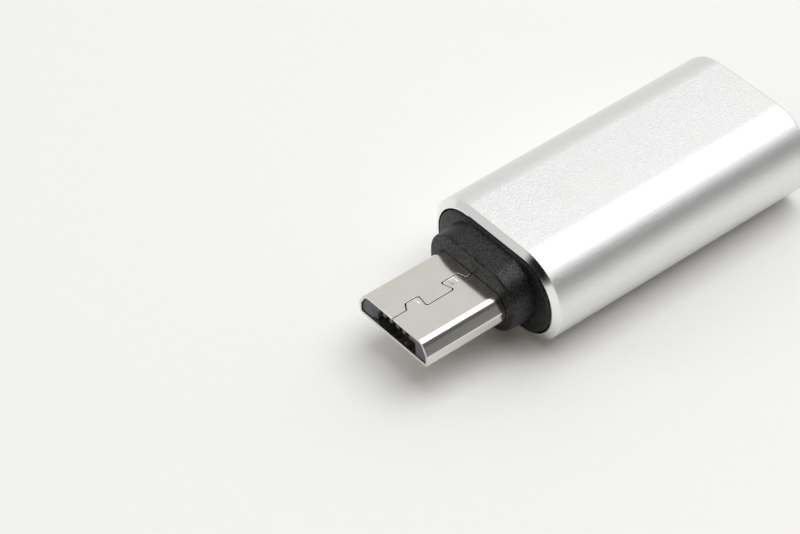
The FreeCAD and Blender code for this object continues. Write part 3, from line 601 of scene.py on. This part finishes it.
def add_prism(bm, outline, low_z, high_z, slimmer=0.0):
    """An upright block on an (x, y) outline, whose low end may be slimmer by a share of 1."""
    middle_x = sum(x for x, y in outline) / len(outline)
    middle_y = sum(y for x, y in outline) / len(outline)
    small = [(x + (middle_x - x) * slimmer, y + (middle_y - y) * slimmer) for x, y in outline]
    rows = add_rows(bm, [[(x, y, low_z) for x, y in small], [(x, y, high_z) for x, y in outline]])
    join_rows(bm, rows)
    bm.faces.new(rows[0])
    bm.faces.new(rows[1])


def square(middle_x, middle_y, wide, long):
    """A rectangle as (x, y) points, anticlockwise."""
    return [(middle_x - wide / 2, middle_y - long / 2), (middle_x + wide / 2, middle_y - long / 2),
            (middle_x + wide / 2, middle_y + long / 2), (middle_x - wide / 2, middle_y + long / 2)]


THROUGH = SHEET * 1.6
cutters = new_drawing()
add_prism(cutters, seam_outline(), shell_high.z - THROUGH, shell_high.z + SHEET)
dent_x = SEAM_GAP / 2 + DIMPLE_MARGIN + DIMPLE / 2 - TAB_REACH
for start in (TABS[0] + TAB_TAPER, TABS[1] - TAB_TAPER / 2):
    dent_y = TIP_Y + start + (TAB_LONG - TAB_TAPER) / 2
    add_prism(cutters, square(dent_x, dent_y, DIMPLE, DIMPLE), shell_high.z - DIMPLE_DEEP,
              shell_high.z + DIMPLE_DEEP, slimmer=0.25)
print("joint and dents:", len(cutters.faces), "faces")

# %% [markdown]
# The latch slots are plain slots with round corners. The two grooves between them are pressed, not
# cut, so their cutter is a long rounded bar that dips only a tenth of a millimetre into the sheet.

# %% Slots and grooves
LATCH_X = 2.375
SLOT_WIDE = 0.5
SLOT_START, SLOT_END = 1.2, 5.7
SLOT_ROUND = 0.12
GROOVE_X = 1.21
GROOVE_DEEP = 0.12
GROOVE_RADIUS = 0.32
GROOVE_START, GROOVE_END = 1.45, 4.55


def add_bar(bm, x, start_y, end_y, centre_z, radius, steps=8):
    """A round bar along Y with ball ends."""
    rings = []
    for end_point, way in ((start_y + radius, -1), (end_y - radius, 1)):
        angles = [pi / 2 * step / steps for step in range(steps)]
        for angle in (reversed(angles) if way < 0 else angles):
            slim = radius * cos(angle)
            y = end_point + way * radius * sin(angle)
            turns = [turn * pi / steps for turn in range(2 * steps)]
            rings.append([(x + slim * cos(turn), y, centre_z + slim * sin(turn)) for turn in turns])
    rows = add_rows(bm, rings)
    join_rows(bm, rows)
    bm.faces.new(rows[0])
    bm.faces.new(rows[-1])


slot_y = TIP_Y + (SLOT_START + SLOT_END) / 2
for side in (-1, 1):
    slot = square(LATCH_X * side, slot_y, SLOT_WIDE, SLOT_END - SLOT_START)
    slot = round_polygon(slot, [SLOT_ROUND] * 4, 4)
    add_prism(cutters, slot, shell_low.z - SHEET, shell_low.z + THROUGH)
    add_bar(cutters, GROOVE_X * side, TIP_Y + GROOVE_START, TIP_Y + GROOVE_END,
            shell_low.z + GROOVE_DEEP - GROOVE_RADIUS, GROOVE_RADIUS)
print("all cutters:", len(cutters.faces), "faces")

# %% Cut and soften the shell
STAMPED_EDGE = 0.04


def cut_away(bm, tools):
    """The drawing minus the tools, by Blender's exact Boolean."""
    pair = []
    for name, part in (("uncut", bm), ("tools", tools)):
        bmesh.ops.recalc_face_normals(part, faces=part.faces)
        mesh = bpy.data.meshes.new(name)
        part.to_mesh(mesh)
        part.free()
        pair.append(bpy.data.objects.new(name, mesh))
        scene.collection.objects.link(pair[-1])
    body, cutter = pair
    boolean = body.modifiers.new("stamp", "BOOLEAN")
    boolean.operation = "DIFFERENCE"
    boolean.solver = "EXACT"
    boolean.object = cutter
    evaluated = body.evaluated_get(bpy.context.evaluated_depsgraph_get())
    result = new_drawing()
    result.from_mesh(bpy.data.meshes.new_from_object(evaluated))
    for part in pair:
        bpy.data.objects.remove(part)
    return result


shell_drawing = cut_away(shell_drawing, cutters)
soften(shell_drawing, STAMPED_EDGE)
to_piece(shell_drawing, "folded_shell", "plug_shell", [satin_nickel])

# %% [markdown]
# ## Inside the plug
#
# The insulator fills the shell and leaves a mouth for the socket's tongue, so we keep its solid's
# shape and only break its edges. The five contacts and the two latches are bent strips. Each is
# drawn as its side view: the line of its underside, thickened and with round bends, then carried
# sideways. They ride on their own bodies, because each one springs by itself.

# %% Insulator
MOULDED_EDGE = 0.02
drawing = copy_of("plug_insulator")
soften(drawing, MOULDED_EDGE)
to_piece(drawing, "plug_moulding", "plug_insulator", [connector_plastic])

# %% Bent strips
STRIP_EDGE = 0.015


def strip_piece(name, node, material, body, underside, thick, wide, middle_x, bend):
    """A bent strip: its side view with round bends, carried across X."""
    side_view = underside + [(y, z + thick) for y, z in reversed(underside)]
    side_view = round_polygon(side_view, [bend] * len(side_view), 4)
    drawing = new_drawing()
    rows = add_rows(drawing, [[(x, y, z) for y, z in side_view]
                              for x in (middle_x - wide / 2, middle_x + wide / 2)])
    join_rows(drawing, rows)
    drawing.faces.new(rows[0])
    drawing.faces.new(rows[1])
    soften(drawing, STRIP_EDGE, least_turn=50)
    to_piece(drawing, name, node, [material], body)


# %% Contacts
CONTACT_THICK = 0.12
CONTACT_WIDE = 0.25
CONTACT_BEND = 0.05
BOW, BOW_HALF, BEND = 2.05, 0.12, 4.55
TIP_LIFT = 0.16
for number in range(1, 6):
    node = f"plug_contact_{number}"
    low, high = box_mm(node)
    strip_z = high.z - CONTACT_THICK
    underside = [(high.y, strip_z), (TIP_Y + BEND, strip_z), (TIP_Y + BOW + BOW_HALF, low.z),
                 (TIP_Y + BOW - BOW_HALF, low.z), (low.y, low.z + TIP_LIFT)]
    strip_piece(f"gold_contact_{number}", node, plated_gold, f"{node}_spring", underside,
                CONTACT_THICK, CONTACT_WIDE, (low.x + high.x) / 2, CONTACT_BEND)

# %% Latches
LATCH_THICK = 0.18
LATCH_WIDE = 0.34
LATCH_BEND = 0.06
CREST, CREST_HALF, HEEL = 2.0, 0.06, 3.1
NOSE_LIFT = 0.05
for side in ("left", "right"):
    node = f"latch_{side}"
    low, high = box_mm(node)
    arm_z = high.z - LATCH_THICK
    underside = [(high.y, arm_z), (TIP_Y + HEEL, arm_z), (TIP_Y + CREST + CREST_HALF, low.z),
                 (TIP_Y + CREST - CREST_HALF, low.z), (low.y, shell_low.z + NOSE_LIFT)]
    strip_piece(f"spring_hook_{side}", node, spring_steel, f"{node}_spring", underside,
                LATCH_THICK, LATCH_WIDE, (low.x + high.x) / 2, LATCH_BEND)

# %% [markdown]
# ## The rear end
#
# From behind, a black bezel fills the sleeve round the oval port. The bezel and the port's tube
# are outlines carried along Y again. The tube is deep drawn from stainless steel, so its rim is
# softly rounded. The tongue keeps its solid's shape with its edges broken.

# %% Bezel and port tube
BEZEL_ROUND = 0.2
PORT_WALL = 0.3
PORT_ROUND = 1.53
PORT_RIM_ROUND = 0.1


def port_ring(y, grow):
    """The port's oval at y, moved outwards by a distance."""
    half_wide, half_high = port_high.x, (port_high.z - port_low.z) / 2
    return along(round_box(half_wide + grow, half_high + grow, PORT_ROUND + grow, MIDDLE_Z), y)


bezel_low, bezel_high = box_mm("rear_bezel")
rings = [port_ring(bezel_low.y, SLIP_GAP), sleeve_ring(bezel_low.y, slip_inset)]
edge = list(quarter_turn(BEZEL_ROUND))
rings += [sleeve_ring(bezel_high.y - back, slip_inset + inset) for inset, back in reversed(edge)]
rings += [port_ring(bezel_high.y, SLIP_GAP)]
drawing = new_drawing()
rows = add_rows(drawing, rings)
join_rows(drawing, rows + rows[:1])
to_piece(drawing, "moulded_bezel", "rear_bezel", [black_abs])

rings = [port_ring(port_low.y, -PORT_WALL), port_ring(port_low.y, 0)]
edge = list(quarter_turn(PORT_RIM_ROUND))
rings += [port_ring(port_high.y - back, -inset) for inset, back in reversed(edge)]
rings += [port_ring(port_high.y - back, inset - PORT_WALL) for inset, back in edge]
drawing = new_drawing()
rows = add_rows(drawing, rings)
join_rows(drawing, rows + rows[:1])
to_piece(drawing, "drawn_port_tube", "port_shell", [drawn_stainless])

# %% Tongue
drawing = copy_of("port_tongue")
soften(drawing, MOULDED_EDGE)
to_piece(drawing, "moulded_tongue", "port_tongue", [connector_plastic])

# %% [markdown]
# ## Finishes of the pieces that keep their solids
#
# The port's contacts and mid plate, the board, its two resistors and the carrier's halves are
# plain shapes that the solids already have. They only need their finish. The board's solder mask
# is green and shows the glass weave under it, about 0.45 mm apart. A chip resistor is a black
# ceramic block with a tinned cap at each end, so its tone changes with the distance from its ends.

# %% Board and resistor finishes
CAP_START = 0.28


def make_board_laminate():
    """Green solder mask over a glass weave whose threads cross."""
    material, tree, places = new_finish("solder_mask_on_glass_laminate")
    threads = [add_node(tree, "ShaderNodeTexWave", {"bands_direction": direction},
                        {"Scale": per_wave(0.45), "Distortion": 0.6}, {"Vector": places})
               for direction in ("X", "Y")]
    weave = add_node(tree, "ShaderNodeMath", {"operation": "MULTIPLY"}, {},
                     {0: threads[0].outputs["Fac"], 1: threads[1].outputs["Fac"]})
    tone = add_node(tree, "ShaderNodeMix", {"data_type": "RGBA"},
                    {"A": colour("#1c4d33"), "B": colour("#2c6a48")},
                    {"Factor": weave.outputs["Value"]})
    bump = add_node(tree, "ShaderNodeBump", {}, {"Strength": 0.3, "Distance": 0.01 * MM},
                    {"Height": weave.outputs["Value"]})
    close_finish(tree, {"Roughness": 0.35, "IOR": 1.5},
                 {"Base Color": tone.outputs["Result"], "Normal": bump.outputs["Normal"]})
    return material


def make_chip_ceramic(low_y, high_y):
    """Black ceramic between two y places in millimetres, with a metal cap towards each end."""
    material, tree, places = new_finish("chip_ceramic_with_tinned_caps")
    y = add_node(tree, "ShaderNodeSeparateXYZ", {}, {}, {"Vector": places}).outputs["Y"]
    from_middle = add_node(tree, "ShaderNodeMath", {"operation": "SUBTRACT"},
                           {1: (low_y + high_y) / 2 * MM}, {0: y})
    distance = add_node(tree, "ShaderNodeMath", {"operation": "ABSOLUTE"}, {},
                        {0: from_middle.outputs["Value"]})
    cap = add_node(tree, "ShaderNodeMapRange", {"clamp": True},
                   {"From Min": CAP_START * MM, "From Max": (CAP_START + 0.02) * MM},
                   {"Value": distance.outputs["Value"]})
    specks = add_node(tree, "ShaderNodeTexNoise", {}, {"Scale": per_mm(0.05)}, {"Vector": places})
    body = add_node(tree, "ShaderNodeMix", {"data_type": "RGBA"},
                    {"A": colour("#161618"), "B": colour("#2a2a2d")},
                    {"Factor": specks.outputs["Fac"]})
    tone = add_node(tree, "ShaderNodeMix", {"data_type": "RGBA"}, {"B": colour("#c9c8c4")},
                    {"Factor": cap.outputs["Result"], "A": body.outputs["Result"]})
    close_finish(tree, {"Roughness": 0.4},
                 {"Base Color": tone.outputs["Result"], "Metallic": cap.outputs["Result"]})
    return material


board_laminate = make_board_laminate()
chip_low, chip_high = box_mm("chip_resistor_1")
chip_ceramic = make_chip_ceramic(chip_low.y, chip_high.y)
print("made", board_laminate.name, "and", chip_ceramic.name)

# %% Dress the kept solids
KEPT = {"gold_plated_bronze": plated_gold, "board_laminate": board_laminate,
        "chip_ceramic": chip_ceramic, "carrier_plastic": carrier_nylon,
        "stainless_steel": drawn_stainless, "insulator_plastic": connector_plastic,
        "anodised_aluminium": anodised_aluminium, "black_moulding": black_abs,
        "nickel_plated_steel": satin_nickel, "spring_steel": spring_steel}
for name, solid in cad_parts.items():
    solid.material_slots[0].material = KEPT[SLOTS[name]]
print("dressed", len(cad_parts), "solids")

# %% [markdown]
# ## Floor and light
#
# The object lies on a pale matt board. One big soft lamp hangs over it, a little behind and to
# the right, and a weak one stands in front on the left. Metal shows what stands round it, so the
# room is painted with four soft patches. A pale ceiling on the left lights the flat top. A grey
# place behind on the right gives the sleeve the long dark band along its side. A nearly black one
# in front puts the dark stretch into the cut bevel. The last one, warm and dim on the viewer's
# side, is mirrored by no face that the camera sees, but it keeps the shadow in front of the plug
# deep. The pale floor lights the lower half from below.

# %% Floor
FLOOR_HALF = 600
floor_mesh = bpy.data.meshes.new("floor")
floor_drawing = new_drawing()
corners = [(x, y, 0) for x, y in square(0, 0, 2 * FLOOR_HALF, 2 * FLOOR_HALF)]
floor_drawing.faces.new([floor_drawing.verts.new(Vector(c) * MM) for c in corners])
floor_drawing.to_mesh(floor_mesh)
floor_drawing.free()
material, tree, places = new_finish("matt_painted_board")
fibres = add_node(tree, "ShaderNodeTexNoise", {}, {"Scale": per_mm(0.8), "Detail": 3.0},
                  {"Vector": places})
tone = add_node(tree, "ShaderNodeMix", {"data_type": "RGBA"},
                {"A": colour("#f4f4f3"), "B": colour("#f7f7f6")}, {"Factor": fibres.outputs["Fac"]})
close_finish(tree, {"Roughness": 0.9, "Specular IOR Level": 0.2},
             {"Base Color": tone.outputs["Result"]})
floor_mesh.materials.append(material)
floor = bpy.data.objects.new("floor", floor_mesh)
scene.collection.objects.link(floor)
print("floor side in mm:", 2 * FLOOR_HALF)

# %% Room and lamps
CEILING = Vector((-0.5, 0.42, 0.75)).normalized()
DARK_SIDE = Vector((0.79, 0.46, 0.44)).normalized()
DARK_FRONT = Vector((-0.14, -0.98, 0.14)).normalized()
VIEWER_SIDE = Vector((0.68, -0.60, 0.42)).normalized()
world = bpy.data.worlds.new("studio")
scene.world = world
world.use_nodes = True
tree = world.node_tree
tree.nodes.clear()
direction = add_node(tree, "ShaderNodeTexCoord").outputs["Generated"]


def with_patch(tone, place, patch, edge, core):
    """The room's tone with a patch of another round a direction, fading between two angles."""
    nearness = add_node(tree, "ShaderNodeVectorMath", {"operation": "DOT_PRODUCT"}, {1: place},
                        {0: direction})
    shade = add_node(tree, "ShaderNodeMapRange", {"interpolation_type": "SMOOTHSTEP"},
                     {"From Min": cos(radians(edge)), "From Max": cos(radians(core))},
                     {"Value": nearness.outputs["Value"]})
    return add_node(tree, "ShaderNodeMix", {"data_type": "RGBA"}, {"B": colour(patch)},
                    {"Factor": shade.outputs["Result"], "A": tone}).outputs["Result"]


walls = add_node(tree, "ShaderNodeRGB")
walls.outputs["Color"].default_value = colour("#d9d9d8")
room_tone = with_patch(walls.outputs["Color"], CEILING, "#e8e8e7", 62, 28)
room_tone = with_patch(room_tone, VIEWER_SIDE, "#6c6454", 60, 28)
room_tone = with_patch(room_tone, DARK_SIDE, "#656566", 39, 10)
room_tone = with_patch(room_tone, DARK_FRONT, "#1c1c1d", 24, 10)
background = add_node(tree, "ShaderNodeBackground", {}, {"Strength": 1.0}, {"Color": room_tone})
add_node(tree, "ShaderNodeOutputWorld", {}, {}, {"Surface": background.outputs["Background"]})


def add_softbox(name, place, aim, wide, high, watts):
    """A white rectangular lamp at a place in millimetres, turned to a point."""
    lamp = bpy.data.lights.new(name, "AREA")
    lamp.shape = "RECTANGLE"
    lamp.size, lamp.size_y = wide * MM, high * MM
    lamp.energy = watts
    holder = bpy.data.objects.new(name, lamp)
    scene.collection.objects.link(holder)
    holder.location = Vector(place) * MM
    holder.rotation_euler = (Vector(aim) - Vector(place)).to_track_quat("-Z", "Y").to_euler()


add_softbox("softbox", (70, 130, 420), (70, 100, 0), 400, 420, 1.1)
add_softbox("front_fill", (-250, -270, 210), (0, -8, 3), 150, 150, 0.1)
print("room and lamps ready")

# %% [markdown]
# ## Camera
#
# The camera looks down on the plug from its right front, from about 20 cm away with a long lens,
# so that the sleeve's parallel edges hardly converge. Its direction is built from three angles,
# which is easier to adjust than a matrix.

# %% Camera
AZIMUTH, ELEVATION, ROLL = radians(51.473), radians(43.477), radians(-1.248)
AIM = Vector((-4.349, -11.382, 3.4)) * MM
DISTANCE = 204.15 * MM
LENS, SENSOR = 141.4, 36
back = Vector((sin(AZIMUTH) * cos(ELEVATION), -cos(AZIMUTH) * cos(ELEVATION), sin(ELEVATION)))
right = Vector((0, 0, 1)).cross(back).normalized()
up = back.cross(right)
turned_right = right * cos(ROLL) + up * sin(ROLL)
turned_up = up * cos(ROLL) - right * sin(ROLL)
camera = bpy.data.objects.new("camera", bpy.data.cameras.new("camera"))
scene.collection.objects.link(camera)
turn = Matrix((turned_right, turned_up, back)).transposed().to_4x4()
camera.matrix_world = Matrix.Translation(AIM + back * DISTANCE) @ turn
camera.data.lens = LENS
camera.data.sensor_width = SENSOR
camera.data.clip_start = 0.01
scene.camera = camera
scene.view_settings.view_transform = "Standard"
print("camera height in mm:", round(camera.location.z / MM, 1))
